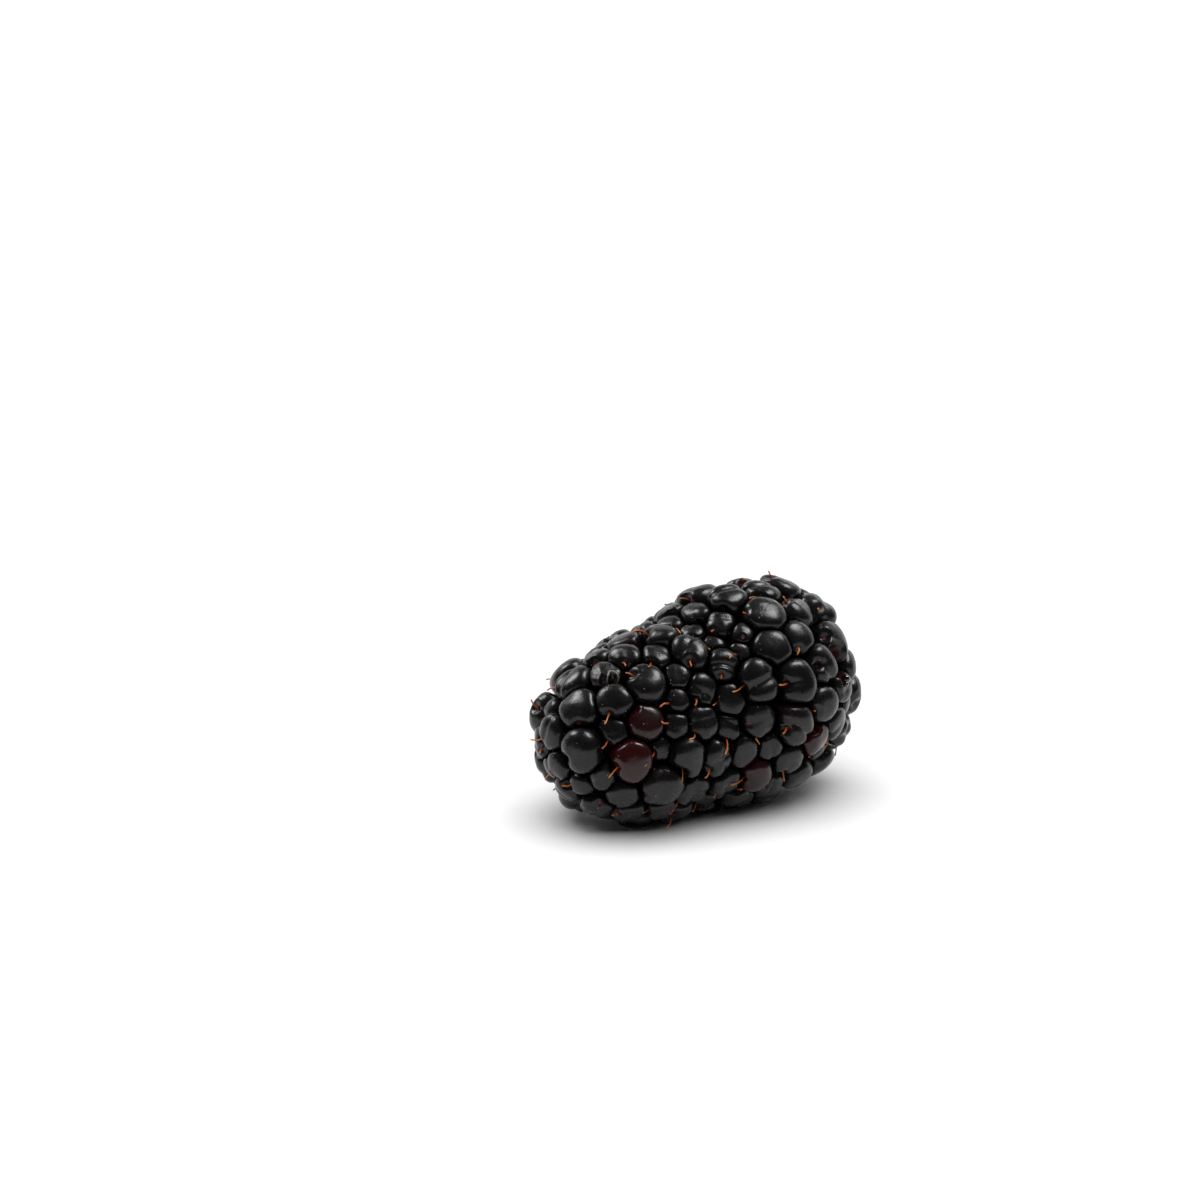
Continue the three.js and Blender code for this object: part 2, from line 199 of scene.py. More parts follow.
def drupelet_middles():
    """Middles and radii: a golden-angle spiral from tip to stem, then eased apart by their sizes."""
    form = settings()
    count = form.drupelets
    numbers = np.arange(count)
    size = np.where(draws(count, 1) < SMALL_SHARE, SMALL_SIZE, 1.0)
    radii = form.drupelet_radius / MM * picks(count, 0, SIZES) * size
    along = -1 + (1 + LAST_ALONG) * numbers / (count - 1)
    across = (1 - np.abs(along) ** SHOULDER) ** (1 / SHOULDER) * belly_at(along)
    turn = numbers * GOLDEN_ANGLE
    start = np.stack([along * form.half_length / MM, across * np.cos(turn), across * np.sin(turn)], axis=1)
    middles = on_receptacle(start)
    room = (radii[:, None] + radii[None, :]) * CROWDING
    rims = SCAR_RADIUS + RIM_ROOM * radii
    for _ in range(EASING_ROUNDS):
        apart = middles[:, None, :] - middles[None, :, :]
        distance = np.linalg.norm(apart, axis=2)
        np.fill_diagonal(distance, np.inf)
        short = np.maximum(room - distance, 0)
        middles = middles + (apart * (short * EASING / distance)[:, :, None]).sum(axis=1)
        from_axis = np.hypot(middles[:, 1], middles[:, 2])
        pushed = np.where((middles[:, 0] > 0) & (from_axis < rims), rims / from_axis, 1.0)
        middles[:, 1:] *= pushed[:, None]
        middles = on_receptacle(middles)
    return middles, radii


def tipward_of(out):
    """The directions along the skin, towards the berry's tip, for these outward ones."""
    tip = np.array([-1.0, 0.0, 1e-4])  # a touch off the axis, or the drupelet at the tip would have none
    return unit(tip - out * (out @ tip)[:, None])


def grow_drupelets():
    """Every drupelet: its middle, its radius and its half axes across, towards the tip and out."""
    middles, radii = drupelet_middles()
    count = len(radii)
    lean = np.stack([draws(count, purpose) - 0.5 for purpose in (2, 3, 4)], axis=1)
    out = unit(receptacle_normals(middles) + lean * LEANING)
    tipward = tipward_of(out)
    across = np.cross(tipward, out)
    twist = picks(count, 5, TWISTS)[:, None]
    wide = across * np.cos(twist) + np.cross(out, across) * np.sin(twist)
    long = np.cross(out, wide)
    return {
        "middle": middles + out * picks(count, 6, RAISED)[:, None],
        "radius": radii,
        "wide": wide * (radii * picks(count, 7, WIDTHS))[:, None],
        "long": long * (radii * picks(count, 8, LENGTHS))[:, None],
        "out": out * (radii * picks(count, 9, HEIGHTS))[:, None],
    }


def reach_of(berry, direction):
    """How far each drupelet's ellipsoid reaches from its middle along a direction."""
    return np.sqrt(sum((berry[axis] @ direction) ** 2 for axis in ("wide", "long", "out")))


def turn_of(roll, pitch):
    """A turn about the berry's own axis, then one that dips its stem end."""
    cos_roll, sin_roll = math.cos(roll), math.sin(roll)
    cos_pitch, sin_pitch = math.cos(pitch), math.sin(pitch)
    about_x = np.array([[1, 0, 0], [0, cos_roll, -sin_roll], [0, sin_roll, cos_roll]])
    about_y = np.array([[cos_pitch, 0, sin_pitch], [0, 1, 0], [-sin_pitch, 0, cos_pitch]])
    return about_y @ about_x


def extent(berry, ends, turn, axis):
    """The lowest and highest that drupelets and style ends reach along an axis, once turned."""
    own = turn.T @ np.array(axis, float)
    middles, reaches, tips = berry["middle"] @ own, reach_of(berry, own), ends @ own
    return min([*(middles - reaches), *tips]), max([*(middles + reaches), *tips])


def grow_styles(berry):
    """Every drupelet's style as a curve: where it is rooted, its heading, its bend and its length."""
    count = len(berry["radius"])
    out = unit(berry["out"])
    tipward = tipward_of(out)
    turn = picks(count, 11, STYLE_TURNS)[:, None]
    way = tipward * np.cos(turn) + np.cross(out, tipward) * np.sin(turn)
    lean = picks(count, 12, STYLE_LEANS)[:, None]
    heading = out * np.cos(lean) + way * np.sin(lean)
    side = np.cross(way, out)
    drawn_lengths = settings().style_length / MM * picks(count, 13, STYLE_LENGTHS)
    return {
        "root": berry["middle"] + heading * (berry["radius"] * STYLE_ROOT)[:, None],
        "heading": heading,
        "bend": way * STYLE_CURL + side * picks(count, 14, STYLE_SWAYS)[:, None] - out * STYLE_DROOP,
        "side": side,
        "length": drawn_lengths + berry["radius"] * (1 - STYLE_ROOT),
    }


def along_style(styles, share):
    """The middles of the threads at a share of their length."""
    length = styles["length"][:, None]
    return styles["root"] + styles["heading"] * length * share + styles["bend"] * length * share**2


def lay_down(berry, styles):
    """The turn and the move that bring the berry to rest, its weight as low as it goes, on z = 0."""
    weights = berry["radius"] ** 3
    heart = (berry["middle"] * weights[:, None]).sum(axis=0) / weights.sum()

    def height(roll, pitch):
        down = turn_of(roll, pitch).T @ np.array([0.0, 0.0, -1.0])
        return ((berry["middle"] - heart) @ down + reach_of(berry, down)).max()

    roll, pitch = settings().roll, 0.0
    step, last_step, narrowing = 0.05, 0.0005, 0.7
    while step > last_step:
        for more_roll, more_pitch in ((step, 0), (-step, 0), (0, step), (0, -step)):
            if height(roll + more_roll, pitch + more_pitch) < height(roll, pitch):
                roll, pitch = roll + more_roll, pitch + more_pitch
        step *= narrowing
    turn = turn_of(roll, pitch)
    none = np.zeros((0, 3))
    lift = -extent(berry, none, turn, (0, 0, 1))[0] - settings().press / MM
    ends = along_style(styles, 1)
    carried = (np.arange(len(ends)) % STYLE_EVERY == 0) & ((ends @ turn.T)[:, 2] + lift > STYLE_CLEARANCE)
    length = extent(berry, ends[carried], turn, (1, 0, 0))
    width = extent(berry, ends[carried], turn, (0, 1, 0))
    return turn, np.array([-sum(length) / 2, -sum(width) / 2, lift])


def laid_berry():
    """The drupelets and styles where they lie in the row frame, and the turn and move to there."""
    berry = grow_drupelets()
    styles = grow_styles(berry)
    turn, move = lay_down(berry, styles)
    for part in (berry, styles):
        for name, value in part.items():
            if value.ndim == 2:
                part[name] = value @ turn.T + (move if name in ("middle", "root") else 0)
    return berry, styles, turn, move


# --- Meshes ---

ASKEW = (0.3, 0.4, 0.86)  # a direction that no style runs along
FACING_OUT = [0, 3, 2, 1]  # the order of a quad's corners that turns the quad round


def make_piece(name, points, faces, material, **point_values):
    """A smooth mesh object, with any values that its material reads per point."""
    mesh = bpy.data.meshes.new(name)
    faces = np.asarray(faces, np.int32)
    mesh.vertices.add(len(points))
    mesh.vertices.foreach_set("co", (np.asarray(points) * MM).astype(np.float32).ravel())
    mesh.loops.add(faces.size)
    mesh.loops.foreach_set("vertex_index", faces.ravel())
    mesh.polygons.add(len(faces))
    mesh.polygons.foreach_set("loop_start", np.arange(len(faces), dtype=np.int32) * faces.shape[1])
    mesh.polygons.foreach_set("use_smooth", np.full(len(faces), True))
    for value_name, values in point_values.items():
        layer = mesh.attributes.new(value_name, "FLOAT", "POINT")
        layer.data.foreach_set("value", np.asarray(values, np.float32).ravel())
    mesh.update(calc_edges=True)
    mesh.validate()
    piece = bpy.data.objects.new(name, mesh)
    piece.data.materials.append(material)
    bpy.context.scene.collection.objects.link(piece)
    return piece


def carry(piece, node):
    """The piece rides on the berry's one body and stands for this node."""
    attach(piece, BODY)
    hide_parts(node)


def ball(level, gather):
    """Unit directions and faces of an icosphere, gathered towards +Z, where a drupelet shows."""
    mesh = bmesh.new()
    bmesh.ops.create_icosphere(mesh, subdivisions=level, radius=1)
    directions = unit(np.array([corner.co for corner in mesh.verts], float))
    faces = np.array([[corner.index for corner in face.verts] for face in mesh.faces])
    mesh.free()
    polar = np.arccos(np.clip(directions[:, 2], -1, 1)) / math.pi
    moved = math.pi * polar * (1 - gather + gather * polar)
    level_ways = unit(directions[:, :2] + 1e-12)
    return np.concatenate([level_ways * np.sin(moved)[:, None], np.cos(moved)[:, None]], axis=1), faces


def ring_quads(rings, sides):
    """The quads between rings of points that follow each other, each ring closed."""
    side = np.arange(sides)
    after = (side + 1) % sides
    ring = np.arange(rings - 1)[:, None] * sides
    quads = np.stack([ring + side, ring + after, ring + sides + after, ring + sides + side], axis=2)
    return quads.reshape(-1, 4)


def swept_tubes(paths, radii, sides):
    """Closed tubes along many paths of equal point counts: points, quads, and each point's share along."""
    count, steps, _ = paths.shape
    tangents = unit(np.gradient(paths, axis=1))
    across = unit(np.cross(tangents, np.array(ASKEW)))
    other = np.cross(tangents, across)
    turns = (np.arange(sides) * 2 * math.pi / sides)[:, None]
    ring = across[:, :, None] * np.cos(turns) + other[:, :, None] * np.sin(turns)
    points = paths[:, :, None] + ring * radii[:, :, None, None]
    offsets = (np.arange(count) * steps * sides)[:, None, None]
    quads = ring_quads(steps, sides)[None] + offsets
    share = np.repeat(np.linspace(0, 1, steps), sides)
    return points.reshape(-1, 3), quads.reshape(-1, 4), np.tile(share, count)


def turned(profile, sides, turn, move):
    """Points and quads of a profile, as along and across pairs, turned about the berry's axis."""
    around = np.arange(sides) * 2 * math.pi / sides
    along, across = np.asarray(profile, float).T
    level, upright = np.outer(across, np.cos(around)).ravel(), np.outer(across, np.sin(around)).ravel()
    points = np.stack([np.repeat(along, sides), level, upright], axis=1)
    return points @ turn.T + move, ring_quads(len(profile), sides)[:, FACING_OUT]


# --- Drupelets ---

SKIN_BALL = (5, 0.3)  # how fine a drupelet's ball is, and how far its points are gathered to the top
DRIED_BALL = (6, 0.0)
BEAD_BALL = (4, 0.0)
SQUARENESS = 2.6  # 2 makes a drupelet an ellipsoid, and more makes its shoulders fuller
FULLNESS = 1.06  # how much further a drupelet spreads along the skin than its solid, up to its walls
DRIED_FULLNESS = 1.35
WALL_SHARPNESS = 9.0  # how sharply a drupelet turns from its round top into the walls it shares
WALL_GAP = 0.05
NEAREST_WALL = 0.45  # of a drupelet's radius
NEAR = 1.25  # drupelets nearer than this many times their two radii press on each other
DRUPELETS_A_PIECE = 38

CREASE_DEPTHS = (0.05, 0.34)  # of the skin's reach
CREASE_RARITY = 1.4  # more than 1 makes deep creases rarer
CREASE_LENGTHS = (0.7, 1.3)  # radians over the drupelet, from the style down
CREASE_RISES = (0.1, 1.3)  # and from the style up, over its top
CREASE_FULL = 0.2  # how far below the style it is at its deepest
CREASE_FADE = 0.5  # over how far its lower end fades
CREASE_BOWS = (-0.25, 0.25)
CREASE_WIDTHS = (0.14, 0.45)  # of its sharp bottom and of its broad flanks
SHARP_SHARE = 0.4  # of its depth
CRATER_DEPTHS = (0.05, 0.13)
CRATER_WIDTH = 0.19
CRATER_RIM = (0.25, 0.36, 0.11)  # its height, as a share of the crater's depth, its radius and its width
FURROWED = (1.3, 2.1)  # creases and furrows are faint at the first radius, and full at the second
LEAST_CREASE = 0.4  # of its depth, in the smallest drupelets
LEAST_FURROW = 0.15
FURROWS = ((0.15, 0.55, (0.12, 0.24)), (0.14, 0.3, (0.18, 0.32)))  # deepest, share that have one, widths
FURROW_TURNS = (-0.6, 0.6)
FURROW_TILTS = (-0.3, 0.3)
FURROW_BOWS = (-0.25, 0.25)
FURROW_PLACES = (-0.4, 0.4)  # off the drupelet's middle
LUMPS = (0.016, 0.034)
LUMP_RATES = (2.2, 3.8, 5.4, 7.0)  # of the waves that make them, each lower than the one before
LUMP_PHASES = (0.0, 6.28)
STAIN_WIDTH = 0.09  # of the red stain at a style's root, in radians

PANES_FACE = (-0.50, -0.81, 0.30)  # the way that the dried drupelet's panes face
PANES = ((0.17, 0.27, 1.0), (-0.33, 0.2, 0.35))  # middle and half width across, and the rim's strength
PANES_FRONT = (0.0, 0.35)  # where the side that they face starts and is full, as cosines
PANE_RISE = 0.12
PANE_HALF_HEIGHT = 0.42
PANE_LEAN = 0.1
PANE_SQUARENESS = 2.4
PANE_UNEVENNESS = 0.1
PANE_DEPTH = 0.2
PANE_FLOOR = 0.6  # how far its floor spreads, of the way from its middle to its edge
RIM_PLACE = (1.1, 0.14)  # where the rim runs, as a share of the way out to the edge, and its width
RIM_HEIGHT = 0.06
WRINKLES = (((4.0, -3.0, 2.0), 0.6, 0.03), ((3.0, 2.0, 9.0), 0.0, 0.012))  # rates, phase and depth

BURST_DRUPELETS = 3
BURST_HEIGHT = 0.75  # of the half axes outward
BURST_HALVES = (1.9, 1.05)  # down the berry's side and across
BURST_DEPTH = 2.6
BURST_REACH = 2.5  # how far under the skin points still sink
BURST_WAVE = (0.15, 3, 1)  # the height, rate and phase of its edge's unevenness
JUICE_BEADS = (  # in the burst place: each one's middle, up and across the skin from there, and its radius
    (-1.9, -0.1, 0.45),
    (-2.3, -0.65, 0.26),
    (1.2, 0.3, 0.3),
)
BEAD_SUNK = 0.4  # of a bead's radius, into the skin that it lies on
BEADED_DRUPELETS = 8  # the nearest ones, on which the beads may lie


def walls_of(berry, number):
    """The walls that a drupelet shares with those pressing on it, as directions and distances."""
    apart = berry["middle"] - berry["middle"][number]
    distance = np.linalg.norm(apart, axis=1)
    near = (distance < NEAR * (berry["radius"] + berry["radius"][number])) & (distance > 0)
    own, other = berry["radius"][number], berry["radius"][near]
    wall = (distance[near] ** 2 + own**2 - other**2) / (2 * distance[near])
    return apart[near] / distance[near, None], np.maximum(wall - WALL_GAP / 2, NEAREST_WALL * own)


def skin_reach(berry, number, directions, offsets):
    """How far out, in half axes, a drupelet's skin lies each way: full, then pressed by its walls."""
    level = np.hypot(directions[:, 0], directions[:, 1])
    full = (level**SQUARENESS + np.abs(directions[:, 2]) ** SQUARENESS) ** (-1 / SQUARENESS)
    pressed = full**-WALL_SHARPNESS
    for towards, wall in zip(*walls_of(berry, number)):
        facing = np.maximum(offsets @ towards, 1e-6)
        pressed += (wall / facing) ** -WALL_SHARPNESS
    return pressed ** (-1 / WALL_SHARPNESS)


def style_spot(berry, styles, number):
    """Where the style leaves a drupelet, in its own axes, and the way from there down its tipward side."""
    axes = np.stack([unit(berry[name][number]) for name in ("wide", "long", "out")])
    spot = axes @ styles["heading"][number]
    down = spot * spot[2] - np.array([0, 0, 1.0])
    return spot, down / np.linalg.norm(down)


def fullness_of(radius, least):
    """How much of their depth creases have in a drupelet of this radius."""
    return least + (1 - least) * float(smoothstep(radius, *FURROWED))


def style_crease(directions, number, radius, spot, down):
    """The crater that the style stands in, and the crease from there over the top and to a notched edge."""
    shallowest, deepest = CREASE_DEPTHS
    depth = shallowest + (deepest - shallowest) * draw(number, 60) ** CREASE_RARITY
    depth *= fullness_of(radius, LEAST_CREASE)
    length = pick(number, 61, CREASE_LENGTHS)
    side = np.cross(spot, down)
    off = np.arcsin(np.clip(directions @ side, -1, 1))
    along = np.arctan2(directions @ down, directions @ spot)
    off = off + pick(number, 63, CREASE_BOWS) * along**2
    from_style = np.hypot(off, along)
    rim_height, rim_radius, rim_width = CRATER_RIM
    crater = bell(from_style, CRATER_WIDTH) - rim_height * bell(from_style - rim_radius, rim_width)
    run = smoothstep(along, -pick(number, 64, CREASE_RISES), CREASE_FULL)
    run *= 1 - smoothstep(along, length, length + CREASE_FADE)
    sharp, broad = (bell(off, width) * run for width in CREASE_WIDTHS)
    crease = SHARP_SHARE * sharp + (1 - SHARP_SHARE) * broad
    return pick(number, 65, CRATER_DEPTHS) * crater + depth * crease


def furrows(directions, number, radius):
    """Furrows that leave a drupelet with lobes: one along it, and in some one across its waist."""
    depth = np.zeros(len(directions))
    full = fullness_of(radius, LEAST_FURROW)
    for furrow, (deepest, share, widths) in enumerate(FURROWS):
        strength = full * deepest * max(draw(number, 80 + furrow) - 1 + share, 0) / share
        turn = pick(number, 82 + furrow, FURROW_TURNS) + furrow * math.pi / 2
        normal = np.array([math.cos(turn), math.sin(turn), pick(number, 84 + furrow, FURROW_TILTS)])
        along = directions @ np.array([-math.sin(turn), math.cos(turn), 0])
        bend = pick(number, 86 + furrow, FURROW_BOWS) * along**2
        off = directions @ unit(normal) - pick(number, 88 + furrow, FURROW_PLACES) + bend
        depth += strength * bell(off, pick(number, 90 + furrow, widths))
    return depth


def lumps(directions, number, strength):
    """Low uneven swellings, so that no drupelet is quite round."""
    height = np.zeros(len(directions))
    for wave, rate in enumerate(LUMP_RATES):
        way = unit(np.array([draw(number, 30 + 3 * wave + k) - 0.5 for k in range(3)]))
        phase = pick(number, 50 + wave, LUMP_PHASES)
        height += np.sin(directions @ way * rate + phase) / (1 + wave)
    return strength * height


def panes(ways):
    """How far into a sunken pane each way out of the dried drupelet is, and how near the pane's rim."""
    facing = unit(np.array(PANES_FACE))
    side = unit(np.cross([0, 0, 1.0], facing))
    off, along = ways @ side, ways @ np.cross(facing, side)
    front = smoothstep(ways @ facing, *PANES_FRONT)
    sunk, rim = np.zeros(len(ways)), np.zeros(len(ways))
    uneven = 1 + PANE_UNEVENNESS * np.sin(off * 9 + 1) * np.sin(along * 7 + off * 4)
    for middle, half_width, strength in PANES:
        across = np.abs(off - middle - PANE_LEAN * along) / half_width
        up = np.abs(along - PANE_RISE) / PANE_HALF_HEIGHT
        within = (across**PANE_SQUARENESS + up**PANE_SQUARENESS) ** (1 / PANE_SQUARENESS) * uneven
        sunk = np.maximum(sunk, front * (1 - smoothstep(within, PANE_FLOOR, 1.0)))
        rim = np.maximum(rim, strength * front * bell(within - RIM_PLACE[0], RIM_PLACE[1]))
    return sunk, rim


def shrunk(ways):
    """How far the skin of the dried drupelet is drawn in, each way out."""
    sunk, rim = panes(ways)
    wrinkles = sum(depth * np.abs(np.sin(ways @ rates + phase)) for rates, phase, depth in WRINKLES)
    return wrinkles + PANE_DEPTH * sunk - RIM_HEIGHT * rim


def berry_middle():
    return (np.array(CAD_LOW) + np.array(CAD_HIGH)) / 2 / MM


def facing_of(berry, direction):
    """How nearly each drupelet lies in a direction from the berry's middle, up to 1."""
    return unit(berry["middle"] - berry_middle()) @ unit(np.array(direction))


def drupelet_facing(berry, direction):
    """The number of the drupelet that lies in a direction from the berry's middle."""
    return int(np.argmax(facing_of(berry, direction)))


def burst_wound(berry):
    """Where the skins have burst: its middle, the way out of the berry there and the way up the skin."""
    nearest = np.argsort(facing_of(berry, BURST_SPOT))[-BURST_DRUPELETS:]
    out = unit(berry["out"][nearest].sum(axis=0))
    way = unit(np.array(BURST_SPOT))
    skins = berry["middle"] + BURST_HEIGHT * berry["out"] - berry_middle()
    middle = berry_middle() + way * (skins[nearest] @ way).mean()
    return middle, out, unit(np.array([0, 0, 1.0]) - out * out[2])


def torn_back(points, wound):
    """The points, sunk where the skin has burst, and how wet and red each is there."""
    middle, out, up = wound
    apart = points - middle
    level = apart - np.outer(apart @ out, out)
    along = level @ up
    across = np.linalg.norm(level - np.outer(along, up), axis=1)
    height, rate, phase = BURST_WAVE
    ragged = 1 + height * np.sin(rate * along + phase)
    within = (along / BURST_HALVES[0]) ** 2 + (across / BURST_HALVES[1]) ** 2
    wet = bell(within * ragged, 1) * (apart @ out > -BURST_REACH)
    return points - np.outer(wet * BURST_DEPTH, out), wet


def drupelet_skin(berry, styles, number, directions, wound, dried=False):
    """One drupelet's points, how near each is to its style's root, and how wet it is."""
    fullness = DRIED_FULLNESS if dried else FULLNESS
    spread = (("wide", fullness), ("long", fullness), ("out", 1.0))
    offsets = sum(directions[:, k : k + 1] * berry[name][number] * by for k, (name, by) in enumerate(spread))
    reach = skin_reach(berry, number, directions, offsets)
    spot, down = style_spot(berry, styles, number)
    radius = berry["radius"][number]
    if dried:
        reach *= 1 - shrunk(unit(offsets))
    else:
        reach *= 1 - style_crease(directions, number, radius, spot, down)
        reach *= 1 - furrows(directions, number, radius)
    reach *= 1 + lumps(directions, number, pick(number, 62, LUMPS))
    points, wet = torn_back(berry["middle"][number] + offsets * reach[:, None], wound)
    points[:, 2] = np.maximum(points[:, 2], 0)
    from_root = np.arccos(np.clip(directions @ spot, -1, 1))
    return points, bell(from_root, STAIN_WIDTH), wet


def redness(berry):
    """How red each drupelet still is: nearly none of them, and those at the named spots."""
    red = RIPE_REDNESS * draws(len(berry["radius"]), 70) ** 3
    for direction, amount in LATE_SPOTS:
        red[drupelet_facing(berry, direction)] = amount
    return red


class BERRY_OT_drupelets(bpy.types.Operator):
    """Grow the drupelets: plump, pressed against each other, each creased where its style stands"""

    bl_idname = "berry.drupelets"
    bl_label = "Drupelets"

    def execute(self, context):
        berry, styles, _, _ = laid_berry()
        directions, faces = ball(*SKIN_BALL)
        red = redness(berry)
        dried = drupelet_facing(berry, DRIED_SPOT)
        skin = skin_material()
        wound = burst_wound(berry)
        count = len(berry["radius"])
        for part, first in enumerate(range(0, count, DRUPELETS_A_PIECE)):
            after = min(first + DRUPELETS_A_PIECE, count)
            numbers = [number for number in range(first, after) if number != dried]
            grown = [drupelet_skin(berry, styles, number, directions, wound) for number in numbers]
            points, stain, wet = (np.concatenate(parts) for parts in zip(*grown))
            joined = np.concatenate([faces + k * len(directions) for k in range(len(grown))])
            values = {"redness": np.repeat(red[numbers], len(directions)), "root_stain": stain}
            piece = make_piece(f"drupelets_{part + 1}", points, joined, skin, wetness=wet, **values)
            carry(piece, "drupelets")
        return {"FINISHED"}


class BERRY_OT_dried_drupelet(bpy.types.Operator):
    """Grow the one drupelet that has dried and drawn in, finer and duller than the rest"""

    bl_idname = "berry.dried_drupelet"
    bl_label = "Dried drupelet"

    def execute(self, context):
        berry, styles, _, _ = laid_berry()
        directions, faces = ball(*DRIED_BALL)
        number = drupelet_facing(berry, DRIED_SPOT)
        points, _, _ = drupelet_skin(berry, styles, number, directions, burst_wound(berry), dried=True)
        _, rim = panes(unit(points - berry["middle"][number]))
        piece = make_piece("dried_drupelet", points, faces, dried_material(), pane_rim=rim)
        carry(piece, "drupelets")
        return {"FINISHED"}


class BERRY_OT_juice(bpy.types.Operator):
    """Lay beads of juice on the skins at the burst place"""

    bl_idname = "berry.juice"
    bl_label = "Juice"

    def execute(self, context):
        berry, styles, _, _ = laid_berry()
        wound = burst_wound(berry)
        middle, out, up = wound
        side = np.cross(up, out)
        directions, _ = ball(*SKIN_BALL)
        nearest = np.argsort(facing_of(berry, BURST_SPOT))[-BEADED_DRUPELETS:]
        skins = [drupelet_skin(berry, styles, number, directions, wound)[0] for number in nearest]
        apart = np.concatenate(skins) - middle
        bead, bead_faces = ball(*BEAD_BALL)
        points, faces = [], []
        for along, across, radius in JUICE_BEADS:
            under = np.hypot(apart @ up - along, apart @ side - across) < radius / 2
            height = (apart[under] @ out).max() + radius * (1 - BEAD_SUNK)
            points.append(middle + along * up + across * side + height * out + bead * radius)
            faces.append(bead_faces + len(bead) * len(faces))
        piece = make_piece("juice_beads", np.concatenate(points), np.concatenate(faces), juice_material())
        carry(piece, "drupelets")
        return {"FINISHED"}


# --- Core, styles and receptacle ---

AXIS_HOLE = 0.001  # how near the axis a turned profile ends
CORE_INSET = 1.4  # deeper than in the solids, so that the gaps between drupelets read as dark
SOCKET_GAP = 0.1
CORE_RINGS = 60
CORE_POLE = 0.001  # radians from the axis, where its tip is left open
CORE_SIDES = 72

STYLE_KINKS = (-0.07, 0.07)  # of a style's length
STYLE_HOOKS = (-0.4, 1.6)
HOOK_START = 0.6
STYLES_LEFT = (0.7, 1.0)  # how much of its length a style has kept
STUB_SHARE = 0.28
STUBS_LEFT = (0.48, 0.62)
STYLE_ROOM = 1.05  # how far a style keeps outside the drupelets that it crosses, as a share of their reach
STYLE_DEEPEST = 0.3  # of their reach: a point deeper inside one is pushed no harder
STYLE_POINTS = 14
STYLE_SIDES = 7
STYLE_SMOOTHINGS = 2
STYLE_FLOOR_GAP = 0.35  # a style that comes nearer to the floor is left out
STYLE_THICKNESSES = (0.8, 1.2)
STYLE_TAPER = (1.15, 0.65)
STYLE_FOOT = 0.4  # how thick it starts, inside its drupelet
STYLE_KNOB = (0.85, 1.0, 0.35)  # how thick its last points are

SCAR_SIDES = 120
SCAR_RINGS = 26
SCAR_EDGE = (0.5, 0.97)  # how far its rounded edge starts behind the scar, and where it ends, of the radius
PLUG_BACK = 0.8  # of the scar's radius
DISH_DEPTH = 0.75
DISH_EDGES = (0.15, 0.6)  # of the scar's radius: where the dish is full and where it starts
SCAR_STRANDS = 13  # the strands that fed the berry, which show in a ring on the scar
STRAND_RING = 1.75
STRAND_WIDTH = 0.3
STRAND_RELIEF = 0.1
SCAR_FACE = (1.0, 0.4)  # how far behind the scar's reach its relief starts, and where it is full
FIBRE_RELIEFS = (0.04, 0.09)  # of the fine fibres and of the broad unevenness


class BERRY_OT_core(bpy.types.Operator):
    """Close the dark flesh that shows deep between the drupelets, round the receptacle's socket"""

    bl_idname = "berry.core"
    bl_label = "Flesh between drupelets"

    def execute(self, context):
        _, _, turn, move = laid_berry()
        rim = SCAR_RADIUS + SOCKET_GAP
        socket = SCAR_REACH - PLUG_DEPTH - SOCKET_GAP
        polar = np.linspace(math.pi - CORE_POLE, math.atan2(rim, SCAR_REACH), CORE_RINGS)
        skin = on_receptacle(np.stack([np.cos(polar), np.sin(polar), 0 * polar], axis=1))
        skin *= (1 - CORE_INSET / np.linalg.norm(skin, axis=1))[:, None]
        profile = [(along, across) for along, across, _ in skin]
        profile += [(socket, rim), (socket, AXIS_HOLE)]
        points, quads = turned(profile, CORE_SIDES, turn, move)
        piece = make_piece("flesh_between", points, quads, flesh_material())
        carry(piece, "drupelets")
        return {"FINISHED"}


def lifted_off(paths, berry):
    """The threads' points, pushed out of the drupelets that they cross, and smoothed again."""
    inverse = [berry[name] / (berry[name] ** 2).sum(axis=1)[:, None] for name in ("wide", "long", "out")]
    lifted = paths.copy()
    for number in range(len(berry["radius"])):
        apart = lifted - berry["middle"][number]
        within = np.sqrt(sum((apart @ axis[number]) ** 2 for axis in inverse))
        within[number] = STYLE_ROOM
        push = np.where(within < STYLE_ROOM, STYLE_ROOM / np.maximum(within, STYLE_DEEPEST), 1.0)
        lifted += apart * (push - 1)[:, :, None]
    for _ in range(STYLE_SMOOTHINGS):
        lifted[:, 1:-1] = (lifted[:, :-2] + 2 * lifted[:, 1:-1] + lifted[:, 2:]) / 4
    return lifted


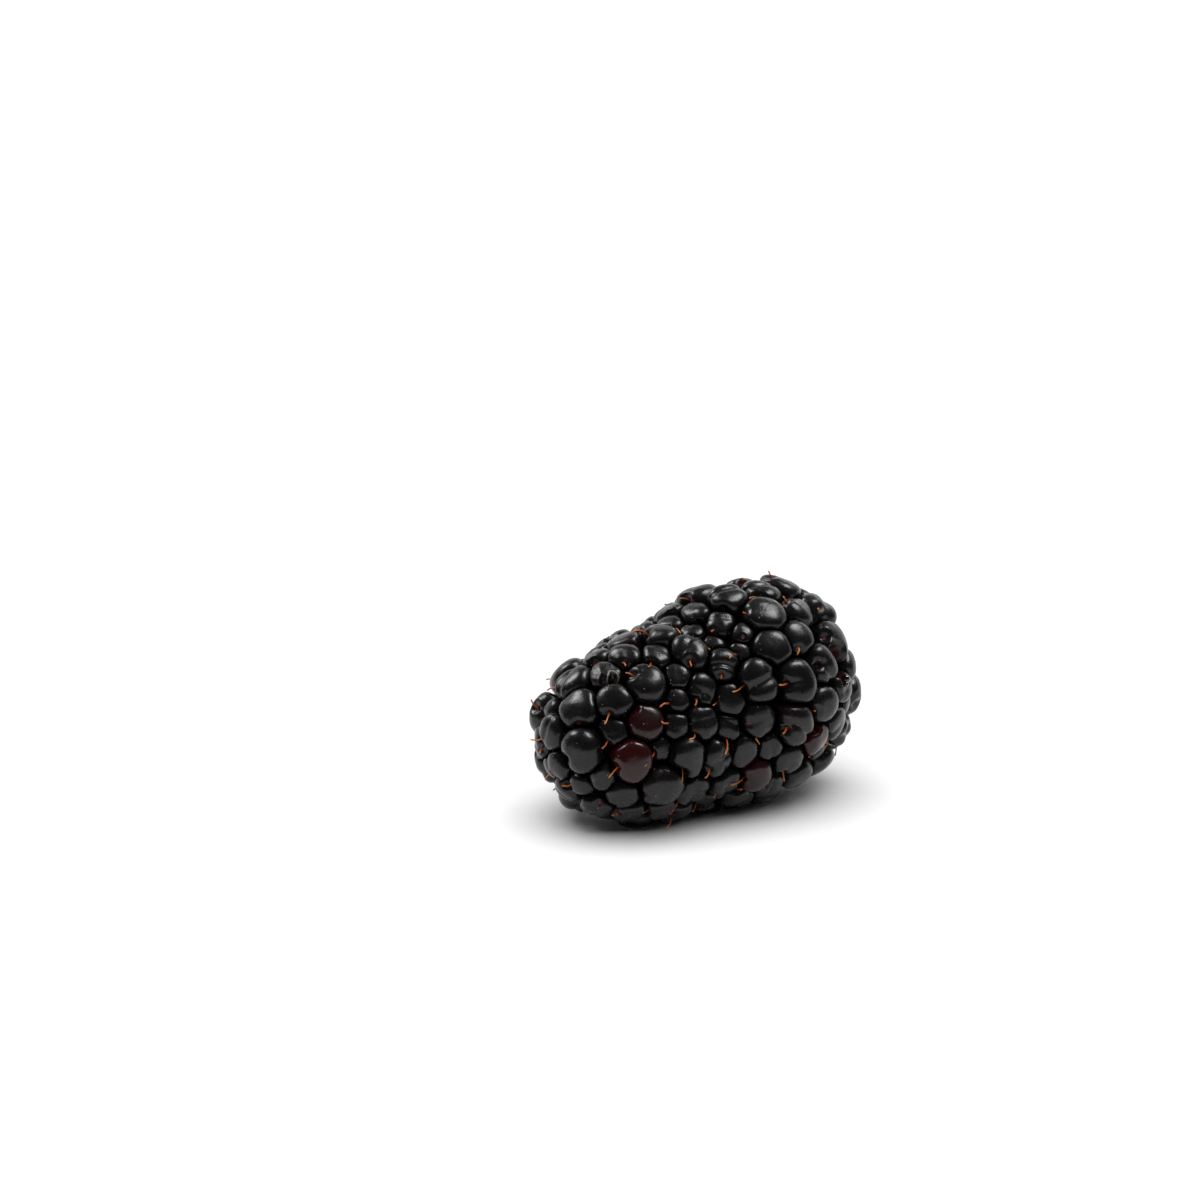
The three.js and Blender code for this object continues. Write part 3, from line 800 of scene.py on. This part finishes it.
class BERRY_OT_styles(bpy.types.Operator):
    """Set the dried styles: curved threads, redder at the root, with a paler knob at the end"""

    bl_idname = "berry.styles"
    bl_label = "Dried styles"

    def execute(self, context):
        berry, styles, _, _ = laid_berry()
        count = len(berry["radius"])
        numbers = np.arange(count)
        has_one = (numbers % STYLE_EVERY == 0) | (draws(count, 10) < settings().style_share)
        shares = np.linspace(0, 1, STYLE_POINTS)
        broken = draws(count, 18) < STUB_SHARE
        left = np.where(broken, picks(count, 19, STUBS_LEFT), picks(count, 19, STYLES_LEFT))
        paths = np.stack([along_style(styles, share * left[:, None]) for share in shares], axis=1)
        kink = (picks(count, 15, STYLE_KINKS) * styles["length"] * left)[:, None, None]
        hook = (picks(count, 16, STYLE_HOOKS) * styles["length"] * left)[:, None, None]
        wave = np.sin(shares * 2 * math.pi)[None, :, None]
        late = (np.maximum(shares - HOOK_START, 0) ** 2)[None, :, None]
        side, out = styles["side"][:, None, :], unit(berry["out"])[:, None, :]
        paths = lifted_off(paths + side * kink * wave - out * hook * late, berry)
        clear = paths[:, :, 2].min(axis=1) > STYLE_FLOOR_GAP
        kept = has_one & clear & (numbers != drupelet_facing(berry, DRIED_SPOT))
        radii = settings().style_radius / MM * picks(count, 17, STYLE_THICKNESSES)[kept]
        taper = np.linspace(*STYLE_TAPER, STYLE_POINTS)
        taper[0] = STYLE_FOOT
        taper[-len(STYLE_KNOB) :] = STYLE_KNOB
        points, quads, share = swept_tubes(paths[kept], radii[:, None] * taper[None, :], STYLE_SIDES)
        piece = make_piece("dried_styles", points, quads, style_material(), share_along=share)
        carry(piece, "drupelets")
        return {"FINISHED"}


def scar_relief(points, profile_radius):
    """How high the scar's strands stand, and how far its fibres and edge are uneven, at these points."""
    turn_at = np.arctan2(points[:, 2], points[:, 1])
    strand = np.maximum(np.cos(turn_at * SCAR_STRANDS + 0.5 * np.sin(turn_at * 3)), 0) ** 3
    strand *= bell(profile_radius - STRAND_RING, STRAND_WIDTH)
    fine, broad = FIBRE_RELIEFS
    fibres = np.sin(turn_at * 23 + 2 * np.sin(profile_radius * 3)) * fine
    fibres += np.sin(turn_at * 5 + profile_radius * 2.1) * broad
    edge = 0.025 * np.sin(turn_at * 3 + 1) + 0.02 * np.sin(turn_at * 8) * np.sin(turn_at * 2 + 2)
    return strand, fibres, edge


class BERRY_OT_receptacle(bpy.types.Operator):
    """Finish the receptacle's bare end: a pale, fibrous scar, dished where the stalk came away"""

    bl_idname = "berry.receptacle"
    bl_label = "Receptacle end"

    def execute(self, context):
        _, _, turn, move = laid_berry()
        back = SCAR_REACH - PLUG_DEPTH
        behind, inside = SCAR_EDGE
        profile = [(back, AXIS_HOLE), (back, SCAR_RADIUS * PLUG_BACK), (SCAR_REACH - behind, SCAR_RADIUS)]
        across = np.linspace(SCAR_RADIUS * inside, AXIS_HOLE, SCAR_RINGS)
        dish = DISH_DEPTH * (1 - smoothstep(across, *(SCAR_RADIUS * edge for edge in DISH_EDGES)))
        profile += [(SCAR_REACH - fall, width) for fall, width in zip(dish, across)]
        points, quads = turned(profile, SCAR_SIDES, np.eye(3), np.zeros(3))
        radius = np.hypot(points[:, 1], points[:, 2])
        strand, fibres, edge = scar_relief(points, radius)
        face = smoothstep(points[:, 0], *(SCAR_REACH - short for short in SCAR_FACE))
        points[:, 0] += face * (fibres * smoothstep(radius, 0.1, 0.8) + STRAND_RELIEF * strand)
        points[:, 1:] *= (1 + edge * face * smoothstep(radius, 1.2, SCAR_RADIUS))[:, None]
        points = points @ turn.T + move
        values = {"from_axis": radius / SCAR_RADIUS, "strand": strand}
        piece = make_piece("receptacle_scar", points, quads, pith_material(), **values)
        carry(piece, "receptacle_end")
        return {"FINISHED"}


# --- Materials ---

ROOT_STAIN = (0.12, 0.008, 0.004)
WET_FLESH = (0.03, 0.0008, 0.0008)
CRUMB = (0.35, 0.12, 0.03)
DUST = (0.25, 0.23, 0.2)
DRIED_SKINS = ((0.002, 0.0016, 0.0016), (0.007, 0.004, 0.0035))
# painted highlight: the pale grey painted along the dried drupelet's raised rims, standing for the glints
# that catch them
RIM_HIGHLIGHT = (0.13, 0.118, 0.112)
JUICE = (0.008, 0.0006, 0.0006, 1)
FLESH = ((0.004, 0.0015, 0.002), (0.012, 0.003, 0.004))
STYLE_COLOURS = (  # how far along, and the colour there
    (0.2, (0.2, 0.015, 0.01, 1)),
    (0.5, (0.42, 0.095, 0.008, 1)),
    (0.97, (0.62, 0.2, 0.028, 1)),
)
STYLE_FLECK = (0.1, 0.025, 0.008)
PITH = ((0.36, 0.28, 0.13), (0.6, 0.52, 0.3))
PITH_MIDDLE = (0.2, 0.1, 0.04)
PITH_STRAND = (0.26, 0.15, 0.05)
PITH_RIM = (0.07, 0.012, 0.012)
STUDIO_WHITE = (0.82, 0.82, 0.82, 1)

NOISE_SPAN = (0.3, 0.7)  # where nearly all of a noise's values lie, and where most of them do
NOISE_CORE = (0.35, 0.65)
RED_PATCH = 1.6  # the size of paler and deeper patches in the red, and how strong they are
RED_STRENGTHS = (0.75, 1.2)
SKIN_ROUGHNESSES = (0.19, 0.31)
WET_ROUGHNESS = 0.13  # also of the drupelets that ripened last
WET_EDGES = (0.15, 0.6)  # where the burst skin starts to look wet, and where it does fully
DRIED_ROUGHNESSES = (0.2, 0.32)
SMEAR_SIZE = 0.8
GRAIN_SIZE = 0.09
PIT_SIZE = 0.32
PIT_DEPTH = 0.034
PITTED_PATCH = 2.4
GRAIN_TO_PITS = 0.2  # how high the finest grain stands, as a share of the pits' depth
SPECK_SPACING = 0.8  # between the crumbs and dust that cling to the skin
SPECK_RADII = (0.03, 0.09)  # of that spacing: a speck is full within the first and gone past the second


def new_material(name):
    """A material with its nodes cleared but for a Principled shader on the output."""
    material = bpy.data.materials.new(name)
    material.use_nodes = True
    nodes = material.node_tree.nodes
    nodes.clear()
    output = nodes.new("ShaderNodeOutputMaterial")
    shader = nodes.new("ShaderNodeBsdfPrincipled")
    material.node_tree.links.new(shader.outputs["BSDF"], output.inputs["Surface"])
    return material, shader


def feed(material, node, inputs):
    """Link a node's inputs to what other nodes give, or set them."""
    for name, value in inputs.items():
        if isinstance(value, bpy.types.NodeSocket):
            material.node_tree.links.new(value, node.inputs[name])
        else:
            node.inputs[name].default_value = value


def add_node(material, kind, inputs, **settings_of_node):
    node = material.node_tree.nodes.new(kind)
    for name, value in settings_of_node.items():
        setattr(node, name, value)
    feed(material, node, inputs)
    return node


def point_value(material, name):
    """A value that the piece carries per point."""
    return add_node(material, "ShaderNodeAttribute", {}, attribute_name=name).outputs["Fac"]


def scaled_place(material, size):
    """What a texture needs to repeat at a real size over the piece."""
    place = add_node(material, "ShaderNodeTexCoord", {}).outputs["Object"]
    return {"Vector": place, "Scale": 1 / (size * MM)}


def noise(material, size, detail=2.0, roughness=0.5):
    inputs = {**scaled_place(material, size), "Detail": detail, "Roughness": roughness}
    return add_node(material, "ShaderNodeTexNoise", inputs).outputs["Fac"]


def blended(material, factor, first, second):
    """A colour between two, each given by a node or as red, green and blue."""
    ends = [end if isinstance(end, bpy.types.NodeSocket) else (*end, 1.0) for end in (first, second)]
    mix = add_node(material, "ShaderNodeMix", {0: factor, 6: ends[0], 7: ends[1]}, data_type="RGBA")
    return mix.outputs[2]


def ranged(material, value, low, high, to_low=0.0, to_high=1.0):
    inputs = {"Value": value, "From Min": low, "From Max": high, "To Min": to_low, "To Max": to_high}
    return add_node(material, "ShaderNodeMapRange", inputs).outputs["Result"]


def computed(material, operation, *values):
    return add_node(material, "ShaderNodeMath", dict(enumerate(values)), operation=operation).outputs[0]


def bumped(material, height, depth):
    inputs = {"Height": height, "Distance": depth * MM}
    return add_node(material, "ShaderNodeBump", inputs).outputs["Normal"]


def speckled(material, colour):
    """The colour, with sparse specks of crumb and dust."""
    cells = add_node(material, "ShaderNodeTexVoronoi", scaled_place(material, SPECK_SPACING))
    specks = blended(material, cells.outputs["Color"], CRUMB, DUST)
    is_speck = ranged(material, cells.outputs["Distance"], *SPECK_RADII, 1.0, 0.0)
    return blended(material, is_speck, colour, specks)


def pitted(material):
    """The skin's height: shallow pits, deeper in some patches, under a fine grain."""
    patches = ranged(material, noise(material, PITTED_PATCH, 1.0), 0.42, 0.62, 0.3, 1.0)
    pits = computed(material, "MULTIPLY", noise(material, PIT_SIZE), patches)
    return computed(material, "MULTIPLY_ADD", noise(material, GRAIN_SIZE, 3.0, 0.6), GRAIN_TO_PITS, pits)


def skin_material():
    """Near-black fruit skin: satin gloss, a fine dull grain, and maroon where a drupelet ripened last."""
    form = settings()
    material, shader = new_material("drupelet_skin")
    red, stain, wet = (point_value(material, name) for name in ("redness", "root_stain", "wetness"))
    patches = ranged(material, noise(material, RED_PATCH, 3.0), *NOISE_SPAN, *RED_STRENGTHS)
    uneven = computed(material, "MULTIPLY", red, patches)
    colour = blended(material, uneven, form.ripe_colour, form.late_colour)
    colour = blended(material, ranged(material, stain, 0.1, 1, 0, 0.9), colour, ROOT_STAIN)
    colour = speckled(material, colour)
    colour = blended(material, ranged(material, wet, *WET_EDGES), colour, WET_FLESH)
    rough = ranged(material, noise(material, SMEAR_SIZE), *NOISE_SPAN, *SKIN_ROUGHNESSES)
    rough = ranged(material, red, 0.3, 1.0, rough, WET_ROUGHNESS)
    rough = ranged(material, wet, *WET_EDGES, rough, WET_ROUGHNESS)
    normal = bumped(material, pitted(material), PIT_DEPTH)
    feed(material, shader, {"Base Color": colour, "Roughness": rough, "Normal": normal, "IOR": 1.36})
    feed(material, shader, {"Coat Weight": 0.2, "Coat Roughness": 0.55, "Coat IOR": 1.4})
    return material


def dried_material():
    """Dry, brown-black skin, with a painted highlight along the thin raised rims round the sunken panes: pale
    grey painted there to stand for the glints on them.
    """
    material, shader = new_material("dried_skin")
    blotches = noise(material, 0.5, 3.0)
    colour = blended(material, ranged(material, blotches, *NOISE_CORE), *DRIED_SKINS)
    rim = point_value(material, "pane_rim")
    # The painted highlight on the rims is uneven: it becomes full sooner along the rim mask in some blotches
    # than in others
    glint_full_at = ranged(material, blotches, 0.3, 0.6, 1.5, 0.95)
    colour = blended(material, ranged(material, rim, 0.2, glint_full_at), colour, RIM_HIGHLIGHT)
    rough = ranged(material, blotches, *NOISE_SPAN, *DRIED_ROUGHNESSES)
    normal = bumped(material, noise(material, 0.12, 3.0, 0.6), 0.03)
    feed(material, shader, {"Base Color": colour, "Roughness": rough, "Normal": normal, "IOR": 1.45})
    return material


def juice_material():
    """Dark red juice, glassy."""
    material, shader = new_material("juice")
    feed(material, shader, {"Base Color": JUICE, "Roughness": 0.06, "IOR": 1.45})
    feed(material, shader, {"Coat Weight": 1.0, "Coat Roughness": 0.04, "Coat IOR": 1.5})
    return material


def flesh_material():
    """The dark skin low between drupelets, where little light reaches."""
    material, shader = new_material("flesh_between")
    colour = blended(material, noise(material, 0.4), *FLESH)
    feed(material, shader, {"Base Color": colour, "Roughness": 0.8, "Specular IOR Level": 0.1})
    return material


def style_material():
    """Dry orange-brown thread, red-brown at its root and paler at its end."""
    material, shader = new_material("dried_style")
    ramp = add_node(material, "ShaderNodeValToRGB", {"Fac": point_value(material, "share_along")})
    stops = ramp.color_ramp.elements
    stops.new(STYLE_COLOURS[1][0])
    for stop, (along, colour) in zip(stops, STYLE_COLOURS):
        stop.position, stop.color = along, colour
    flecks = ranged(material, noise(material, 0.12), 0.35, 0.7, 0.55, 0.0)
    colour = blended(material, flecks, ramp.outputs["Color"], STYLE_FLECK)
    feed(material, shader, {"Base Color": colour, "Roughness": 0.45})
    return material


def pith_material():
    """Pale pith with browner fibres towards the middle of the scar."""
    material, shader = new_material("receptacle_pith")
    from_axis, strand = point_value(material, "from_axis"), point_value(material, "strand")
    fibres = noise(material, 0.35, 4.0, 0.6)
    colour = blended(material, ranged(material, fibres, *NOISE_CORE), *PITH)
    colour = blended(material, ranged(material, from_axis, 0.15, 0.6, 0.85, 0.0), colour, PITH_MIDDLE)
    colour = blended(material, ranged(material, strand, 0.1, 0.9, 0.0, 0.5), colour, PITH_STRAND)
    colour = blended(material, ranged(material, from_axis, 0.7, 0.98, 0.0, 0.9), colour, PITH_RIM)
    normal = bumped(material, fibres, 0.08)
    feed(material, shader, {"Base Color": colour, "Roughness": 0.75, "Normal": normal})
    return material


def studio_material():
    material, shader = new_material("studio_white")
    feed(material, shader, {"Base Color": STUDIO_WHITE, "Roughness": 0.9, "Specular IOR Level": 0.0})
    return material


# --- Studio, in metres ---

SOFTBOXES = (  # beside the camera and up, in degrees; distance, width, height; power; and what it lights
    ("softbox_left", -122, 47, 0.9, 0.32, 0.34, 4.7, "gloss"),
    ("softbox_right", 114, 62, 0.9, 0.37, 0.37, 6.4, "gloss"),
    ("rim_light", 152, 20, 0.9, 0.5, 0.08, 0.4, "gloss"),
    ("ceiling", 0, 82, 1.1, 1.6, 1.6, 27.0, "matt"),
)
SENSOR_WIDTH = 36  # millimetres, as is the lens
CLIP = (0.01, 20)
AIM_HEIGHT = 0.01
SWEEP_RADIUS = 1.1
SWEEP_BEND = 0.25  # the radius of the bend from floor to wall
SWEEP_BEND_TURNS = (0.2, math.pi / 2, 7)  # its first and last ring, in radians, and how many there are
SWEEP_WALL = 0.6
SWEEP_FLAT_RINGS = (0.0001, 0.1, 0.4)
SWEEP_SIDES = 96
WALL_EDGES = (0.2, 0.6)  # where the wall starts and is full, as cosines from straight behind
SEEN_WORLD = (0.9, 0.9, 0.9, 1)
REFLECTED_WORLD = (0.03, 0.03, 0.03, 1)


def heading_of(azimuth, elevation):
    """The direction from the berry to something seen at an azimuth and elevation, in degrees."""
    turn, rise = math.radians(azimuth), math.radians(elevation)
    return Vector((math.sin(turn) * math.cos(rise), -math.cos(turn) * math.cos(rise), math.sin(rise)))


def add_camera(form):
    back = heading_of(form.camera_azimuth, form.camera_elevation)
    facing = (-back).to_track_quat("-Z", "Y")
    right, up = facing @ Vector((1, 0, 0)), facing @ Vector((0, 1, 0))
    aim = Vector((0, 0, AIM_HEIGHT)) - right * form.berry_right + up * form.berry_below
    camera = bpy.data.objects.new("camera", bpy.data.cameras.new("camera"))
    camera.location = aim + back * form.camera_distance
    camera.rotation_mode = "QUATERNION"
    camera.rotation_quaternion = facing
    camera.data.sensor_width = SENSOR_WIDTH
    camera.data.lens = SENSOR_WIDTH * form.camera_distance / form.view_width
    camera.data.clip_start, camera.data.clip_end = CLIP
    bpy.context.scene.collection.objects.link(camera)
    bpy.context.scene.camera = camera


def add_softbox(name, azimuth, elevation, distance, width, height, power, lights):
    """A rectangular light that shows in the gloss alone, or one that lights the floor and what is matt."""
    light = bpy.data.lights.new(name, "AREA")
    light.shape = "RECTANGLE"
    light.size, light.size_y = width, height
    light.energy = power
    lamp = bpy.data.objects.new(name, light)
    back = heading_of(azimuth, elevation)
    lamp.location = back * distance
    lamp.rotation_mode = "QUATERNION"
    lamp.rotation_quaternion = back.to_track_quat("Z", "Y")
    lamp.visible_glossy = lights == "gloss"
    lamp.visible_diffuse = lights == "matt"
    bpy.context.scene.collection.objects.link(lamp)


def add_sweep(form):
    """A white floor that curves up into a wall well behind the berry."""
    turns = np.arange(SWEEP_SIDES) * 2 * math.pi / SWEEP_SIDES
    behind = np.cos(turns - (math.pi / 2 + math.radians(form.camera_azimuth)))
    rise = smoothstep(behind, *WALL_EDGES)
    flat = SWEEP_RADIUS - SWEEP_BEND
    rings = [(out, 0.0) for out in (*SWEEP_FLAT_RINGS, flat)]
    for bend in np.linspace(*SWEEP_BEND_TURNS):
        rings.append((flat + SWEEP_BEND * math.sin(bend), SWEEP_BEND * (1 - math.cos(bend))))
    rings.append((SWEEP_RADIUS, SWEEP_BEND + SWEEP_WALL))
    points = [np.stack([out * np.cos(turns), out * np.sin(turns), up * rise], axis=1) for out, up in rings]
    quads = ring_quads(len(rings), SWEEP_SIDES)[:, FACING_OUT]
    sweep = make_piece("sweep", np.concatenate(points) / MM, quads, studio_material())


def set_world():
    """Pale where the camera looks past the sweep, and dim for what the berry reflects."""
    world = bpy.data.worlds.new("studio")
    bpy.context.scene.world = world
    world.use_nodes = True
    tree = world.node_tree
    tree.nodes.clear()
    output = tree.nodes.new("ShaderNodeOutputWorld")
    path, mix = tree.nodes.new("ShaderNodeLightPath"), tree.nodes.new("ShaderNodeMixShader")
    tree.links.new(path.outputs["Is Camera Ray"], mix.inputs[0])
    for socket, colour in ((1, REFLECTED_WORLD), (2, SEEN_WORLD)):
        background = tree.nodes.new("ShaderNodeBackground")
        background.inputs["Color"].default_value = colour
        tree.links.new(background.outputs[0], mix.inputs[socket])
    tree.links.new(mix.outputs[0], output.inputs["Surface"])


class BERRY_OT_studio(bpy.types.Operator):
    """Set the pale sweep, the soft lights and the camera"""

    bl_idname = "berry.studio"
    bl_label = "Studio"

    def execute(self, context):
        form = settings()
        add_sweep(form)
        add_camera(form)
        for name, beside, *placing in SOFTBOXES:
            add_softbox(name, form.camera_azimuth + beside, *placing)
        set_world()
        context.scene.view_settings.view_transform = "Standard"
        return {"FINISHED"}


# --- Add-on ---


def length_setting(name, description, default):
    return FloatProperty(name=name, description=description, default=default, unit="LENGTH", precision=5)


def number_setting(name, description, default, subtype="NONE"):
    return FloatProperty(name=name, description=description, default=default, subtype=subtype)


def count_setting(name, description, default, low, high):
    return IntProperty(name=name, description=description, default=default, min=low, max=high)


def colour_setting(name, description, default):
    looks = {"size": 3, "subtype": "COLOR", "min": 0, "max": 1}
    return FloatVectorProperty(name=name, description=description, default=default, **looks)


class BrambleBerrySettings(bpy.types.PropertyGroup):
    """Sizes, colours and the studio's placing"""

    half_length: length_setting("Half length", "Receptacle's, to the drupelets' middles", 16.0 * MM)
    tip_belly: length_setting("Tip belly", "Receptacle's radius in the half towards the tip", 7.8 * MM)
    stem_belly: length_setting("Stem belly", "Receptacle's radius in the half towards the stem", 9.65 * MM)
    drupelet_radius: length_setting("Drupelet radius", "Radius that most drupelets are near", 2.1 * MM)
    press: length_setting("Press", "How far the lowest drupelets are flattened", 0.5 * MM)
    style_length: length_setting("Style length", "What the styles' drawn lengths are multiplied by", 1.0 * MM)
    style_radius: length_setting("Style radius", "Radius of a dried style", 0.085 * MM)
    drupelets: count_setting("Drupelets", "How many drupelets there are", 165, 40, 400)
    seed: count_setting("Seed", "Another number grows another berry", 47, 0, 9999)
    roll: number_setting("Roll", "Turn about the berry's own axis", 3.0, "ANGLE")
    style_share: number_setting("Styles kept", "Share of drupelets with a style", 0.62, "FACTOR")
    ripe_colour: colour_setting("Ripe skin", "Skin of a ripe drupelet", (0.0022, 0.0020, 0.0023))
    late_colour: colour_setting("Late skin", "Skin of one that ripened last", (0.017, 0.0010, 0.0013))
    camera_azimuth: number_setting("Camera azimuth", "Degrees about the berry", -35)
    camera_elevation: number_setting("Camera elevation", "Degrees above the floor", 17)
    camera_distance: length_setting("Camera distance", "From the camera to what it aims at", 0.65)
    view_width: length_setting("View width", "Width of the picture at that distance", 0.12)
    berry_right: length_setting("Berry to the right", "How far right of the picture's middle", 9.43 * MM)
    berry_below: length_setting("Berry below", "How far below the picture's middle", 10.88 * MM)


PIECES = (
    BERRY_OT_drupelets,
    BERRY_OT_dried_drupelet,
    BERRY_OT_juice,
    BERRY_OT_core,
    BERRY_OT_styles,
    BERRY_OT_receptacle,
    BERRY_OT_studio,
)


class BERRY_PT_panel(bpy.types.Panel):
    """Sizes and colours, and a button for each piece"""

    bl_idname = "BERRY_PT_panel"
    bl_label = "Bramble Berry"
    bl_space_type = "VIEW_3D"
    bl_region_type = "UI"
    bl_category = "Berry"

    def draw(self, context):
        for name in BrambleBerrySettings.__annotations__:
            self.layout.prop(context.scene.bramble_berry, name)
        for piece in PIECES:
            self.layout.operator(piece.bl_idname)


CLASSES = (BrambleBerrySettings, *PIECES, BERRY_PT_panel)


def register():
    for kind in CLASSES:
        bpy.utils.register_class(kind)
    bpy.types.Scene.bramble_berry = PointerProperty(type=BrambleBerrySettings)


def unregister():
    del bpy.types.Scene.bramble_berry
    for kind in reversed(CLASSES):
        bpy.utils.unregister_class(kind)


def main():
    register()
    bpy.ops.berry.drupelets()
    bpy.ops.berry.dried_drupelet()
    bpy.ops.berry.juice()
    bpy.ops.berry.core()
    bpy.ops.berry.styles()
    bpy.ops.berry.receptacle()
    bpy.ops.berry.studio()


if __name__ == "__main__":
    main()
